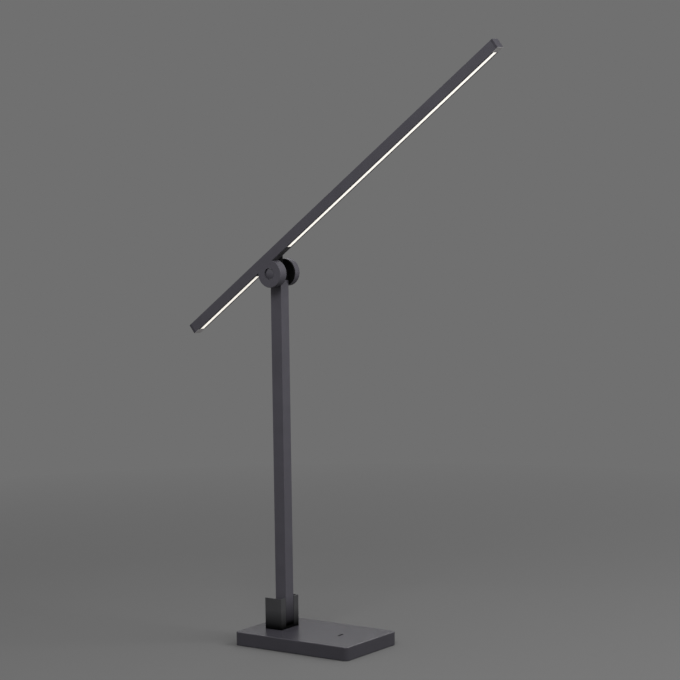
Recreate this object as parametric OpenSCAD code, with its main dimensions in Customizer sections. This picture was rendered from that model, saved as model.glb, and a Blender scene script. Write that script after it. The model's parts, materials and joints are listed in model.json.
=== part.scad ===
// LED table lamp: weighted base, tilting stem and a light bar on a friction hinge.
// The origin is the middle of the rest face. +X is the way the bar reaches, +Z is up.

/* [Base] */
// Length of the base, front to back
base_l = 160; // [140:1:200]
// Width of the base
base_w = 102; // [90:1:130]
// Height of the base shell
base_h = 15.5; // [14.5:0.5:24]
// Radius of the upright corners of the shell
base_corner_r = 5.5; // [3:0.5:9]
// Radius of the edge round the top of the shell
base_edge_r = 1; // [0.4:0.1:2]
// Thickness of the shell's side walls
base_wall = 4; // [3.2:0.2:5]
// Thickness of the shell's top wall
base_top = 3; // [2.4:0.2:4]
// Width of the shell's rim round the pad and the bottom plate
rim_w = 2; // [1.2:0.2:2.6]
// Thickness of the bottom plate
plate_t = 1.5; // [1:0.1:2]
// Thickness of the non-slip pad
pad_t = 2; // [1.4:0.1:2.4]
// How far the pad stands out below the shell
pad_proud = 0.6; // [0.5:0.1:1.2]
// Clearance round the ballast
ballast_gap = 0.4; // [0.2:0.1:1]

/* [Bracket] */
// Distance from the base's rear edge to the stem's axis
stem_from_rear = 36; // [30:1:50]
// Height of the bracket
bracket_h = 36.3; // [34:0.1:50]
// Width of the bracket
bracket_w = 34.6; // [33:0.1:44]
// Thickness of the bracket's back wall
bracket_back = 7.9; // [6.6:0.1:10]
// Thickness of the bracket's floor under the stem
bracket_floor = 1.5; // [1.2:0.1:5]
// Thickness of the rim round the bracket's open top
bracket_rim_t = 1.4; // [1:0.1:2.4]
// Depth of the bracket's open top
bracket_rim_h = 6; // [1:0.5:8]
// Radius of the bracket's upright edges
bracket_edge_r = 0.4; // [0.2:0.1:1.5]
// Thickness of the shim between bracket and base
shim_t = 0.5; // [0.3:0.1:1]
// Diameter of the pin that the stem tilts on
pin_d = 6; // [5:0.25:6.5]
// Skin left over the blind end of the pin's bore
pin_skin = 3.5; // [2:0.5:4]

/* [Stem] */
// Width of the square stem
stem_w = 15; // [13.5:0.1:16]
// Wall of the stem's tube
stem_wall = 1.5; // [1.2:0.1:2]
// Radius of the stem's long edges
stem_edge_r = 0.4; // [0.2:0.1:1.1]
// Height of the arm's hinge above the base's top
hinge_rise = 419; // [410:1:520]
// Length of the solid foot above the pin
foot_rise = 30; // [24:1:50]
// Length of the solid head below the hinge
head_drop = 30; // [20:1:50]
// Thickness of each washer beside the foot
foot_washer_t = 0.4; // [0.2:0.1:0.8]

/* [Hinge] */
// Diameter of the two hinge discs
disc_d = 32; // [31.8:0.2:38]
// Thickness of the far disc
clamp_t = 10.8; // [8.6:0.2:14]
// Width of the bevel round the discs
disc_bevel = 0.6; // [0.2:0.1:1]
// Diameter of the hinge bolt's shank
bolt_d = 8; // [7:0.5:8.5]
// Bore for the wires through the bolt
bolt_bore = 4; // [3:0.5:4.5]
// Diameter of the pockets for the bolt's head and nut
pocket_d = 13.4; // [12:0.1:14]
// Thickness of the friction washer on the arm's side
friction_t = 0.4; // [0.2:0.1:1]
// Thickness of the friction washer on the far side
far_friction_t = 2; // [0.4:0.1:2.4]
// Diameter of the friction washers
friction_d = 31.4; // [26:0.2:31.6]
// Thickness of the round caps
cap_t = 1.8; // [1.2:0.1:2]
// How far the round caps stand out of the discs
cap_proud = 0.8; // [0.2:0.1:1.2]
// Depth of the groove round the caps
cap_groove = 1; // [0.4:0.1:1]
// Width of the groove round the caps
cap_groove_w = 0.8; // [0.4:0.1:1.2]
// Thickness of the bolt's head
head_t = 3.4; // [2.6:0.1:3.6]

/* [Arm] */
// Angle of the arm above level
arm_angle = 37.8; // [20:0.1:60]
// Length of the arm from the hinge to its upper end
reach_up = 401; // [380:1:405]
// Length of the arm from the hinge to its lower end
reach_down = 134; // [110:1:180]
// Width of the square arm
arm_w = 12; // [11.5:0.5:14]
// Height of the arm's middle line over the hinge axis
arm_rise = 15.8; // [14.5:0.1:17]
// Wall of the arm
arm_wall = 1.2; // [1:0.1:1.5]
// Radius of the arm's long edges
arm_edge_r = 0.4; // [0.2:0.1:1]
// Length of each end cap outside the arm
end_cap_t = 3; // [1:0.5:5]

/* [Light] */
// Width of the channel under the arm
channel_w = 8.4; // [8:0.1:8.8]
// Depth of the channel
channel_d = 3; // [2.8:0.1:3.4]
// Thickness of the wall over the channel
web_t = 1; // [0.8:0.1:1.4]
// Dark stretch of the channel above the hinge
dark_up = 37; // [24:0.5:44]
// Dark stretch of the channel below the hinge
dark_down = 18.5; // [16:0.5:40]
// Dark stretch at each end of the arm
dark_end = 9; // [6:0.5:16]
// Thickness of the diffusers and covers
diffuser_t = 1.2; // [0.8:0.1:1.3]
// Thickness of the strip's circuit board
strip_t = 0.6; // [0.4:0.1:0.7]
// Width of the strip's circuit board
strip_w = 7.8; // [6:0.1:7.8]
// Distance between two LED chips
chip_pitch = 8.33; // [6:0.01:20]

/* [Switch] */
// Distance from the base's front edge to the key
key_from_front = 44; // [38:1:50]
// Length of the key
key_l = 9; // [7:0.5:12]
// Width of the key
key_w = 2.2; // [1.8:0.1:3]
// Travel of the key
key_travel = 0.8; // [0.4:0.1:1]
// Clearance round the key
key_gap = 0.3; // [0.2:0.05:0.5]

/* [Electronics] */
// Length of the circuit board, front to back
board_l = 42; // [38:1:46]
// Width of the circuit board
board_w = 60; // [52:1:64]
// Thickness of the circuit board
board_t = 1.6; // [1:0.1:1.6]
// Distance from the top wall to the circuit board
board_drop = 5.9; // [5.7:0.1:6.2]
// Diameter of the inlet's bore
inlet_bore = 5.6; // [5:0.1:6]
// Diameter of the insulated leads
lead_d = 2; // [1.4:0.1:2.4]

/* [Hidden] */

// Finishes
graphite = [0.16, 0.155, 0.17];
graphite_dark = [0.13, 0.13, 0.14];
black = [0.02, 0.02, 0.022];
steel = [0.55, 0.56, 0.58];
zinc = [0.62, 0.63, 0.66];
brass = [0.72, 0.58, 0.28];
board_green = [0.05, 0.25, 0.14];
nylon = [0.85, 0.84, 0.80];
warm_white = [1, 0.96, 0.86];
copper = [0.72, 0.40, 0.22];

// Clearances
slip = 0.05;        // radial clearance of a turning fit
fit_gap = 0.1;      // clearance of a piece that is pushed in
wash_gap = 0.06;    // side clearance of a friction washer
foot_gap = 0.5;     // clearance under the stem's round foot
back_gap = 0.4;     // clearance between the upright stem and the bracket's back wall
over = 1;           // how far a cut runs past its face
bend_grow = 1.1;    // ball at a lead's bend, as a share of the lead's diameter
round_fn = 96;      // facets of a large circle in the preview
small_fn = 48;      // facets of a small circle in the preview

// Levels of the base
base_top_z = pad_proud + base_h;
ceiling_z = base_top_z - base_top;
plate_z = pad_t;
room_z = plate_z + plate_t;
room_h = ceiling_z - room_z;
room_l = base_l - 2 * base_wall;
room_w = base_w - 2 * base_wall;
inner_corner_r = max(base_corner_r - base_wall, 0.6);
lip_corner_r = max(base_corner_r - rim_w, 0.6);

// Bosses for the bottom plate
boss_d = 7;
boss_inset = base_wall + boss_d / 2 + 1.5;
boss_x = base_l / 2 - boss_inset;
boss_y = base_w / 2 - boss_inset;
m3_pilot = 2.5;
m3_free = 3.4;
m3_head_d = 5.6;

// Stem and bracket
stem_x = -base_l / 2 + stem_from_rear;
bracket_z = base_top_z + shim_t;
foot_r = stem_w / 2;
slot_half = stem_w / 2 + foot_washer_t + fit_gap;
slot_back_x = -stem_w / 2 - back_gap;
bracket_x0 = slot_back_x - bracket_back;
bracket_x1 = stem_w / 2;
bracket_l = bracket_x1 - bracket_x0;
pin_z = bracket_z + bracket_floor + foot_r + foot_gap;
pin_half = bracket_w / 2 - pin_skin;
plug_t = pin_skin - fit_gap;
pin_bush_d = pin_d + 2;
foot_washer_d = stem_w - 1;
cheek_t = bracket_w / 2 - slot_half;
cheek_y = slot_half + cheek_t / 2;
m4_pilot = 3.3;
m4_free = 4.4;
m4_head_d = 7;
m4_head_t = 2.4;
bolt_bite = min(7, pin_z - pin_d / 2 - 0.8 - bracket_z);
rear_screw_x = bracket_x0 + 5;
front_screw_x = bracket_x1 - 5;
lead_x = bracket_x0 + bracket_back / 2;
lead_hole_d = lead_d + 1.6;
window_z = pin_z + foot_r + 5;
window_h = 9;

// Arm hinge
hinge_z = base_top_z + hinge_rise;
near_gap = stem_w / 2 + wash_gap + friction_t;
far_gap = stem_w / 2 + wash_gap + far_friction_t;
axle_bush_d = bolt_d + 2;
near_y = -near_gap - arm_w;
far_y = far_gap + clamp_t;
head_y = near_y + cap_t + 0.2;
head_floor_y = head_y + head_t;
nut_t = 3;
spring_t = 0.7;
nut_y = far_y - cap_t - 0.3 - nut_t;
spring_y = nut_y - 2 * spring_t;
cap_d = pocket_d - 2 * cap_groove_w;
cap_flange_d = pocket_d - 2 * fit_gap;
inner_fit_d = pocket_d - 0.8;
wire_y = (head_floor_y - near_gap) / 2;

// Arm in its own frame: X along the arm, Z away from the hinge axis
arm_mid_y = -near_gap - arm_w / 2;
arm_under = arm_rise - arm_w / 2;
web_z = arm_under + channel_d;
cavity_z = web_z + web_t;
cavity_h = arm_w - channel_d - web_t - arm_wall;
cavity_w = arm_w - 2 * arm_wall;
tube_x0 = -reach_down + end_cap_t;
tube_x1 = reach_up - end_cap_t;
cover_start = sqrt(pow(disc_d / 2, 2) - pow(arm_under, 2)) + 0.2;
strip_inset = 1.5;
chip_l = 2.8;
chip_w = 3.5;
chip_h = 0.6;
wire_d = 1.2;
wire_z = cavity_z + wire_d;
web_hole_up = dark_up - 3;
web_hole_down = dark_down - 2;

// Switch and board
key_x = base_l / 2 - key_from_front;
flange_t = 0.9;
flange_grow = 2.4;
flange_z = ceiling_z - 0.2 - flange_t;
plunger_d = 3;
board_z = ceiling_z - board_drop - board_t;
board_x0 = key_x - 14;
tact_h = board_drop - 0.2 - flange_t - 0.9;
tact_w = 6;
plunger_z = board_z + board_t + tact_h - 2;
post_x1 = board_x0 + 5;
post_x2 = board_x0 + board_l - 5;
post_y = board_w / 2 - 5;
post_d = 6;
coil_d = 12;
coil_h = 4;
can_d = 6.3;
can_h = 5.2;
chip_side = 6;
chip_board_h = 1.2;
term_h = 4;
term_x = board_x0 + 2;
term_z = board_z + board_t + term_h / 2;

// Power inlet and leads in the base
inlet_l = 13;
inlet_w = 9;
inlet_h = 8;
inlet_nose_d = 7.2;
inlet_z = room_z + room_h / 2;
inlet_x = -base_l / 2 + base_wall;
inlet_pin_d = 2;
lane_w = 8;
lane_z = term_z;
ballast_x1 = board_x0 - 3;

// Rectangle in plan with round corners, made only of squares and circles
module round_rect(l, w, r) {
    square([l - 2 * r, w], center = true);
    square([l, w - 2 * r], center = true);
    for (sx = [-1, 1], sy = [-1, 1])
        translate([sx * (l / 2 - r), sy * (w / 2 - r)])
            circle(r, $fn = small_fn);
}

// Upright bar with round corners
module round_bar(l, w, h, r) {
    linear_extrude(h) round_rect(l, w, r);
}

// Cylinder along Y from y0 to y1
module y_cyl(d, y0, y1, fn = small_fn) {
    translate([0, y0, 0])
        rotate([-90, 0, 0])
            cylinder(h = y1 - y0, d = d, $fn = fn);
}

// Cylinder along X from x0 to x1
module x_cyl(d, x0, x1, fn = small_fn) {
    translate([x0, 0, 0])
        rotate([0, 90, 0])
            cylinder(h = x1 - x0, d = d, $fn = fn);
}

// Ring along Y
module y_ring(d_out, d_in, y0, y1) {
    difference() {
        y_cyl(d_out, y0, y1, round_fn);
        y_cyl(d_in, y0 - over, y1 + over);
    }
}

// Disc along Y from y0 to y1, bevelled on the rims named by b0 and b1
module y_disc(d, y0, y1, b0, b1) {
    h = y1 - y0;
    translate([0, y0, 0])
        rotate([-90, 0, 0])
            rotate_extrude($fn = round_fn)
                polygon([[0, 0], [d / 2 - b0, 0], [d / 2, b0], [d / 2, h - b1],
                    [d / 2 - b1, h], [0, h]]);
}

// Round cap that stands out of a disc's face at y along dir, its flange inside the pocket
module y_cap(y, dir) {
    bevel = 0.4;
    r = cap_d / 2;
    top = -cap_proud;
    translate([0, y, 0])
        rotate([dir > 0 ? 90 : -90, 0, 0])
            rotate_extrude($fn = round_fn)
                polygon([[0, top], [r - bevel, top], [r, top + bevel], [r, cap_groove],
                    [cap_flange_d / 2, cap_groove], [cap_flange_d / 2, cap_t], [0, cap_t]]);
}

// Puts its children at each corner of a rectangle given by half sizes
module at_corners(x, y) {
    for (sx = [-1, 1], sy = [-1, 1])
        translate([sx * x, sy * y, 0])
            children();
}

// Puts its children at the stem's foot, on the pin's axis
module at_pin() {
    translate([stem_x, 0, pin_z]) children();
}

// Puts its children on the hinge axis, square to the stem
module at_hinge() {
    translate([stem_x, 0, hinge_z]) children();
}

// Puts its children in the arm's own frame
module on_arm() {
    at_hinge() rotate([0, -arm_angle, 0]) children();
}

// One upright corner of the shell with its rounded top edge
module shell_corner() {
    steps = 6;
    r = base_corner_r;
    e = min(base_edge_r, base_corner_r - 0.5);
    rotate_extrude($fn = 32)
        polygon(concat([[0, 0], [r, 0], [r, base_h - e]],
            [for (i = [1 : steps]) [r - e + e * cos(90 * i / steps),
                base_h - e + e * sin(90 * i / steps)]],
            [[0, base_h]]));
}

module base_shell() {
    color(graphite)
    difference() {
        union() {
            difference() {
                translate([0, 0, pad_proud])
                    hull()
                        at_corners(base_l / 2 - base_corner_r, base_w / 2 - base_corner_r)
                            shell_corner();
                translate([0, 0, pad_proud - over])
                    round_bar(base_l - 2 * rim_w, base_w - 2 * rim_w,
                        room_z - pad_proud + over, lip_corner_r);
                translate([0, 0, room_z - over])
                    round_bar(room_l, room_w, room_h + over, inner_corner_r);
            }
            translate([0, 0, room_z])
                at_corners(boss_x, boss_y)
                    cylinder(h = room_h + over / 2, d = boss_d, $fn = small_fn);
            for (x = [post_x1, post_x2], sy = [-1, 1])
                translate([x, sy * post_y, ceiling_z - board_drop])
                    cylinder(h = board_drop + over / 2, d = post_d, $fn = small_fn);
        }
        translate([0, 0, room_z - over])
            at_corners(boss_x, boss_y)
                cylinder(h = room_h + over - 1, d = m3_pilot, $fn = small_fn);
        for (x = [post_x1, post_x2], sy = [-1, 1])
            translate([x, sy * post_y, ceiling_z - board_drop - over])
                cylinder(h = board_drop + over - 0.5, d = m3_pilot, $fn = small_fn);
        for (x = [rear_screw_x, front_screw_x], sy = [-1, 1])
            translate([stem_x + x, sy * cheek_y, ceiling_z - over])
                cylinder(h = base_top + 2 * over, d = m4_free, $fn = small_fn);
        translate([stem_x + lead_x, 0, ceiling_z - over])
            cylinder(h = base_top + 2 * over, d = lead_hole_d, $fn = small_fn);
        translate([key_x, 0, ceiling_z - over])
            key_plan(key_gap, base_top + 2 * over);
        translate([0, 0, inlet_z])
            x_cyl(inlet_nose_d + 2 * fit_gap, -base_l / 2 - over, inlet_x + over);
    }
}

// Long slim shape of the key, grown by g all round, h high
module key_plan(g, h) {
    w = key_w + 2 * g;
    l = key_l + 2 * g;
    linear_extrude(h) {
        square([w, l - w], center = true);
        for (s = [-1, 1])
            translate([0, s * (l - w) / 2])
                circle(d = w, $fn = small_fn);
    }
}

module base_pad() {
    color(black)
    round_bar(base_l - 2 * rim_w - 2 * fit_gap, base_w - 2 * rim_w - 2 * fit_gap, pad_t,
        lip_corner_r);
}

module bottom_plate() {
    color(zinc)
    difference() {
        translate([0, 0, plate_z])
            round_bar(base_l - 2 * rim_w - 2 * fit_gap, base_w - 2 * rim_w - 2 * fit_gap,
                plate_t, lip_corner_r);
        translate([0, 0, plate_z - over])
            at_corners(boss_x, boss_y)
                cylinder(h = plate_t + 2 * over, d = m3_free, $fn = small_fn);
        translate([0, 0, plate_z])
            at_corners(boss_x, boss_y)
                countersink();
    }
}

// Cone that takes a countersunk head, its wide end at level 0
module countersink() {
    depth = (m3_head_d - m3_free) / 2;
    translate([0, 0, -0.01])
        cylinder(h = min(depth, plate_t - 0.2), d1 = m3_head_d + 0.2,
            d2 = m3_head_d + 0.2 - 2 * min(depth, plate_t - 0.2), $fn = small_fn);
}

module plate_screws() {
    head = min((m3_head_d - m3_free) / 2, plate_t - 0.2);
    color(steel)
    translate([0, 0, plate_z])
        at_corners(boss_x, boss_y)
            difference() {
                union() {
                    cylinder(h = head, d1 = m3_head_d, d2 = m3_head_d - 2 * head,
                        $fn = small_fn);
                    cylinder(h = plate_t + 6, d = m3_pilot - 0.05, $fn = small_fn);
                }
                translate([0, 0, -over])
                    cylinder(h = over + 0.9, d = 1.8, $fn = 6);
            }
}

module ballast() {
    z0 = room_z;
    h = room_h - ballast_gap;
    x0 = -room_l / 2 + ballast_gap;
    w = room_w - 2 * ballast_gap;
    pocket_l = bracket_l + 4;
    color(steel)
    difference() {
        translate([(x0 + ballast_x1) / 2, 0, z0])
            round_bar(ballast_x1 - x0, w, h, inner_corner_r);
        translate([0, 0, z0 - over])
            at_corners(boss_x, boss_y)
                cylinder(h = h + 2 * over, d = boss_d + 2, $fn = small_fn);
        for (sy = [-1, 1])
            translate([-base_l / 2, sy * base_w / 2, z0 + h / 2])
                cube([2 * boss_inset, 2 * boss_inset, h + 2 * over], center = true);
        translate([stem_x + (bracket_x0 + bracket_x1) / 2, 0,
                ceiling_z - m4_head_t - 1])
            translate([-pocket_l / 2, -bracket_w / 2 - 2, 0])
                cube([pocket_l, bracket_w + 4, m4_head_t + 2]);
        translate([x0 - over, -lane_w / 2, lane_z - lead_d])
            cube([ballast_x1 - x0 + 2 * over, lane_w, room_h]);
        translate([inlet_x - over, -inlet_w / 2 - 1, z0 - over])
            cube([inlet_l + 2 + over, inlet_w + 2, room_h + 2 * over]);
    }
}

module driver_board() {
    color(board_green)
    difference() {
        translate([board_x0, -board_w / 2, board_z])
            cube([board_l, board_w, board_t]);
        for (x = [post_x1, post_x2], sy = [-1, 1])
            translate([x, sy * post_y, board_z - over])
                cylinder(h = board_t + 2 * over, d = 2.7, $fn = small_fn);
    }
}

module board_screws() {
    color(steel)
    for (x = [post_x1, post_x2], sy = [-1, 1])
        translate([x, sy * post_y, board_z]) {
            translate([0, 0, -1.2])
                cylinder(h = 1.2, d = 4.6, $fn = small_fn);
            translate([0, 0, -0.6])
                cylinder(h = board_t + 0.6 + 3.5, d = m3_pilot - 0.05, $fn = small_fn);
        }
}

// Place on the board's upper face, measured from the board's rear edge
module on_board(x, y) {
    translate([board_x0 + x, y, board_z + board_t]) children();
}

module power_coil() {
    color(black)
    on_board(board_l - 14, 15) {
        linear_extrude(coil_h * 0.3) square(coil_d, center = true);
        cylinder(h = coil_h, d = coil_d * 0.8, $fn = small_fn);
        translate([0, 0, coil_h * 0.7])
            linear_extrude(coil_h * 0.3) square(coil_d, center = true);
    }
}

module filter_capacitor() {
    color(zinc)
    on_board(board_l - 14, -15) {
        cylinder(h = can_h, d = can_d, $fn = small_fn);
        linear_extrude(0.8) square(can_d + 0.6, center = true);
    }
}

module control_chip() {
    color(black)
    on_board(board_l - 14, 0) {
        translate([0, 0, 0.2])
            linear_extrude(chip_board_h) square(chip_side, center = true);
        for (i = [-1.5 : 1 : 1.5], s = [-1, 1])
            translate([i * 1.27, s * (chip_side / 2 + 0.5), 0.25])
                cube([0.4, 1.4, 0.5], center = true);
    }
}

module board_terminals() {
    color(nylon)
    for (s = [-1, 1])
        on_board(3.5, s * lane_w / 4)
            difference() {
                linear_extrude(term_h) square([5, lane_w / 2 - 0.2], center = true);
                translate([-5, 0, term_h / 2])
                    rotate([0, 90, 0])
                        cylinder(h = 6, d = lead_d + 0.2, $fn = small_fn);
            }
}

module power_inlet() {
    color(black)
    translate([0, 0, inlet_z])
        difference() {
            union() {
                translate([inlet_x, -inlet_w / 2, -inlet_h / 2])
                    cube([inlet_l, inlet_w, inlet_h]);
                x_cyl(inlet_nose_d, -base_l / 2 + 0.5, inlet_x + over);
            }
            difference() {
                x_cyl(inlet_bore, -base_l / 2 - over, inlet_x + inlet_l - 4);
                x_cyl(inlet_pin_d, -base_l / 2 + 2, inlet_x + inlet_l - 3);
            }
        }
}

// Straight lead between two points, with a slightly fuller ball at its far end
module lead_run(a, b, d) {
    v = b - a;
    n = norm(v);
    translate(a)
        rotate([0, acos(v[2] / n), atan2(v[1], v[0])])
            cylinder(h = n, d = d, $fn = 24);
    translate(b) sphere(d = bend_grow * d, $fn = 24);
}

module supply_lead() {
    color(black)
    translate([0, -lane_w / 4, lane_z])
        x_cyl(lead_d, inlet_x + inlet_l + fit_gap, term_x);
}

module light_lead() {
    y = lane_w / 4;
    xb = stem_x + lead_x;
    color(black) {
        lead_run([term_x, y, lane_z], [xb + 3, y, lane_z], lead_d);
        lead_run([xb + 3, y, lane_z], [xb, 0, lane_z + 1], lead_d);
        lead_run([xb, 0, lane_z + 1], [xb, 0, window_z], lead_d);
    }
}

module tact_switch() {
    color(black)
    translate([key_x, 0, board_z + board_t])
        difference() {
            linear_extrude(tact_h) round_rect(tact_w, tact_w, 0.5);
            translate([0, 0, tact_h - 2 - key_travel])
                cylinder(h = 3 + key_travel, d = plunger_d + 2 * slip, $fn = small_fn);
        }
}

module key_plunger() {
    color(nylon)
    translate([key_x, 0, plunger_z])
        cylinder(h = flange_z - plunger_z, d = plunger_d, $fn = small_fn);
}

module switch_key() {
    color(black)
    translate([key_x, 0, flange_z]) {
        key_plan(flange_grow / 2, flange_t);
        key_plan(0, base_top_z - flange_z);
    }
}

module bracket_shim() {
    color(graphite_dark)
    difference() {
        translate([stem_x + (bracket_x0 + bracket_x1) / 2, 0, base_top_z])
            round_bar(bracket_l, bracket_w, shim_t, bracket_edge_r);
        for (x = [rear_screw_x, front_screw_x], sy = [-1, 1])
            translate([stem_x + x, sy * cheek_y, base_top_z - over])
                cylinder(h = shim_t + 2 * over, d = m4_free, $fn = small_fn);
        translate([stem_x + lead_x, 0, base_top_z - over])
            cylinder(h = shim_t + 2 * over, d = lead_hole_d, $fn = small_fn);
    }
}

module stem_bracket() {
    color(graphite)
    difference() {
        translate([stem_x + (bracket_x0 + bracket_x1) / 2, 0, bracket_z])
            round_bar(bracket_l, bracket_w, bracket_h, bracket_edge_r);
        translate([stem_x + slot_back_x, -slot_half, bracket_z + bracket_floor])
            cube([bracket_l + over, 2 * slot_half, bracket_h + over]);
        translate([stem_x + bracket_x0 - over, bracket_rim_t - bracket_w / 2,
                bracket_z + bracket_h - bracket_rim_h])
            cube([bracket_l + over - bracket_rim_t, bracket_w - 2 * bracket_rim_t,
                bracket_rim_h + over]);
        at_pin() {
            y_cyl(pin_d + 2 * fit_gap / 4, -pin_half, bracket_w / 2 + over);
            translate([0, cheek_y, 0])
                x_cyl(m4_pilot, bracket_x0 - over, 0);
        }
        for (x = [rear_screw_x, front_screw_x], sy = [-1, 1])
            translate([stem_x + x, sy * cheek_y, bracket_z - over])
                cylinder(h = bolt_bite + over, d = m4_pilot, $fn = small_fn);
        translate([stem_x + lead_x, 0, bracket_z - over])
            cylinder(h = window_z + lead_hole_d / 2 - bracket_z + over, d = lead_hole_d,
                $fn = small_fn);
        translate([stem_x + lead_x, -lead_hole_d / 2, window_z - window_h / 2])
            cube([bracket_back, lead_hole_d, window_h]);
    }
}

module bracket_screws() {
    color(steel)
    for (x = [rear_screw_x, front_screw_x], sy = [-1, 1])
        translate([stem_x + x, sy * cheek_y, ceiling_z])
            difference() {
                union() {
                    translate([0, 0, -m4_head_t])
                        cylinder(h = m4_head_t, d = m4_head_d, $fn = small_fn);
                    translate([0, 0, -m4_head_t / 2])
                        cylinder(h = m4_head_t / 2 + base_top + shim_t + bolt_bite - 0.6,
                            d = m4_pilot - 0.05, $fn = small_fn);
                }
                translate([0, 0, -m4_head_t - over])
                    cylinder(h = over + 1.4, d = 2.9, $fn = 6);
            }
}

module stem_pin() {
    color(steel)
    at_pin() y_cyl(pin_d, -pin_half, pin_half);
}

module pin_plug() {
    color(graphite)
    at_pin() y_cyl(pin_d, pin_half + fit_gap, pin_half + fit_gap + plug_t);
}

module pin_lock_screw() {
    l = 6;
    color(steel)
    at_pin()
        translate([0, cheek_y, 0])
            difference() {
                x_cyl(m4_pilot - 0.05, -pin_d / 2 - 0.15 - l, -pin_d / 2 - 0.15);
                translate([-pin_d / 2 - 0.15 - l - over, 0, 0])
                    rotate([0, 90, 0])
                        cylinder(h = over + 2, d = 2.2, $fn = 6);
            }
}

// Outline of a square bar whose two ends are round about the pin and the hinge
module round_ended(w, half_y, z0, z1, r) {
    intersection() {
        translate([0, 0, z0 - r])
            linear_extrude(z1 - z0 + 2 * r)
                square([w, 2 * half_y], center = true);
        union() {
            translate([-r - over, -half_y - over, z0])
                cube([2 * r + 2 * over, 2 * half_y + 2 * over, z1 - z0]);
            for (z = [z0, z1])
                translate([0, 0, z])
                    y_cyl(2 * r, -half_y - over, half_y + over, round_fn);
        }
    }
}

module stem_tube() {
    h = hinge_z - pin_z;
    inner = stem_w - 2 * stem_wall;
    color(graphite)
    difference() {
        intersection() {
            translate([stem_x, 0, pin_z - foot_r])
                round_bar(stem_w, stem_w, h + 2 * foot_r, stem_edge_r);
            translate([stem_x, 0, pin_z])
                round_ended(stem_w + over, stem_w, 0, h, foot_r);
        }
        translate([stem_x - inner / 2, -inner / 2, pin_z - foot_r - over])
            cube([inner, inner, h + 2 * foot_r + 2 * over]);
        at_pin() y_cyl(pin_bush_d, -stem_w, stem_w);
        at_hinge() y_cyl(axle_bush_d, -stem_w, stem_w);
        translate([stem_x - stem_w / 2 - over, -lead_hole_d / 2, window_z - window_h / 2])
            cube([stem_wall + 2 * over, lead_hole_d, window_h]);
    }
}

// Solid plug inside the stem, round about the given level
module stem_plug(z0, z1, r_at) {
    side = stem_w - 2 * stem_wall - 2 * fit_gap;
    intersection() {
        translate([stem_x - side / 2, -side / 2, z0])
            cube([side, side, z1 - z0]);
        union() {
            translate([stem_x - side, -side, min(r_at, z0 + foot_r)])
                cube([2 * side, 2 * side, z1 - z0 - foot_r]);
            translate([stem_x, 0, r_at])
                y_cyl(2 * foot_r, -side, side, round_fn);
        }
    }
}

module stem_foot() {
    color(zinc)
    difference() {
        stem_plug(pin_z - foot_r, pin_z + foot_rise, pin_z);
        at_pin() y_cyl(pin_bush_d, -stem_w, stem_w);
        translate([stem_x - stem_w / 2, -lead_hole_d / 2, window_z - window_h / 2])
            cube([stem_w / 2 + lead_hole_d / 2, lead_hole_d,
                pin_z + foot_rise - window_z + window_h]);
    }
}

module pin_bush() {
    color(nylon)
    at_pin() y_ring(pin_bush_d, pin_d + 2 * slip, -stem_w / 2, stem_w / 2);
}

module foot_washers() {
    color(nylon)
    at_pin()
        for (s = [-1, 1])
            translate([0, s * (stem_w + foot_washer_t) / 2, 0])
                y_ring(foot_washer_d, pin_d + 2 * slip, -foot_washer_t / 2,
                    foot_washer_t / 2);
}

module stem_head() {
    z0 = hinge_z - head_drop;
    side = stem_w - 2 * stem_wall - 2 * fit_gap;
    color(zinc)
    difference() {
        intersection() {
            translate([stem_x - side / 2, -side / 2, z0])
                cube([side, side, head_drop + foot_r]);
            union() {
                translate([stem_x - side, -side, z0])
                    cube([2 * side, 2 * side, head_drop]);
                at_hinge() y_cyl(2 * foot_r, -side, side, round_fn);
            }
        }
        at_hinge() y_cyl(axle_bush_d, -stem_w, stem_w);
        translate([stem_x, 0, z0 - over])
            cylinder(h = head_drop, d = bolt_bore + 1, $fn = small_fn);
    }
}

module axle_bush() {
    color(nylon)
    at_hinge()
        difference() {
            y_ring(axle_bush_d, bolt_d + 2 * slip, -stem_w / 2, stem_w / 2);
            translate([0, 0, -axle_bush_d])
                cylinder(h = axle_bush_d, d = bolt_bore, $fn = small_fn);
        }
}

module stem_wires() {
    z0 = window_z + window_h / 2 - 2;
    z1 = hinge_z - bolt_d / 2 - 1.5;
    color(black)
    for (s = [-1, 1])
        translate([stem_x, s * wire_d * 0.6, z0])
            cylinder(h = z1 - z0, d = wire_d, $fn = 24);
}

// The arm's section, seen along the arm: Z up the drawing's Y
module arm_section() {
    difference() {
        translate([0, arm_rise]) round_rect(arm_w, arm_w, arm_edge_r);
        translate([-channel_w / 2, arm_under - over])
            square([channel_w, channel_d + over]);
    }
}

// Turns a section drawn in X and Y into a bar from x0 to x1 along the arm
module along_arm(x0, x1) {
    translate([x0, arm_mid_y, 0])
        rotate([90, 0, 90])
            linear_extrude(x1 - x0)
                children();
}

module arm_beam() {
    color(graphite)
    on_arm()
        difference() {
            union() {
                along_arm(tube_x0, tube_x1) arm_section();
                y_disc(disc_d, near_y, -near_gap, disc_bevel, 0);
            }
            along_arm(tube_x0 - over, tube_x1 + over)
                translate([-cavity_w / 2, cavity_z])
                    square([cavity_w, cavity_h]);
            y_cyl(pocket_d, near_y - over, head_floor_y);
            y_cyl(bolt_d + 2 * slip, near_y, 0);
            translate([0, wire_y, 0])
                cylinder(h = cavity_z + 2 * wire_d, d = bolt_bore - 0.5, $fn = small_fn);
            for (x = [-web_hole_down, web_hole_up])
                translate([x, arm_mid_y, web_z - over])
                    cylinder(h = web_t + 2 * over, d = 2 * wire_d, $fn = 24);
        }
}

module clamp_disc() {
    color(graphite)
    on_arm()
        difference() {
            y_disc(disc_d, far_gap, far_y, 0, disc_bevel);
            y_cyl(pocket_d, spring_y, far_y + over);
            y_cyl(bolt_d + 2 * slip, 0, far_y);
        }
}

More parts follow.
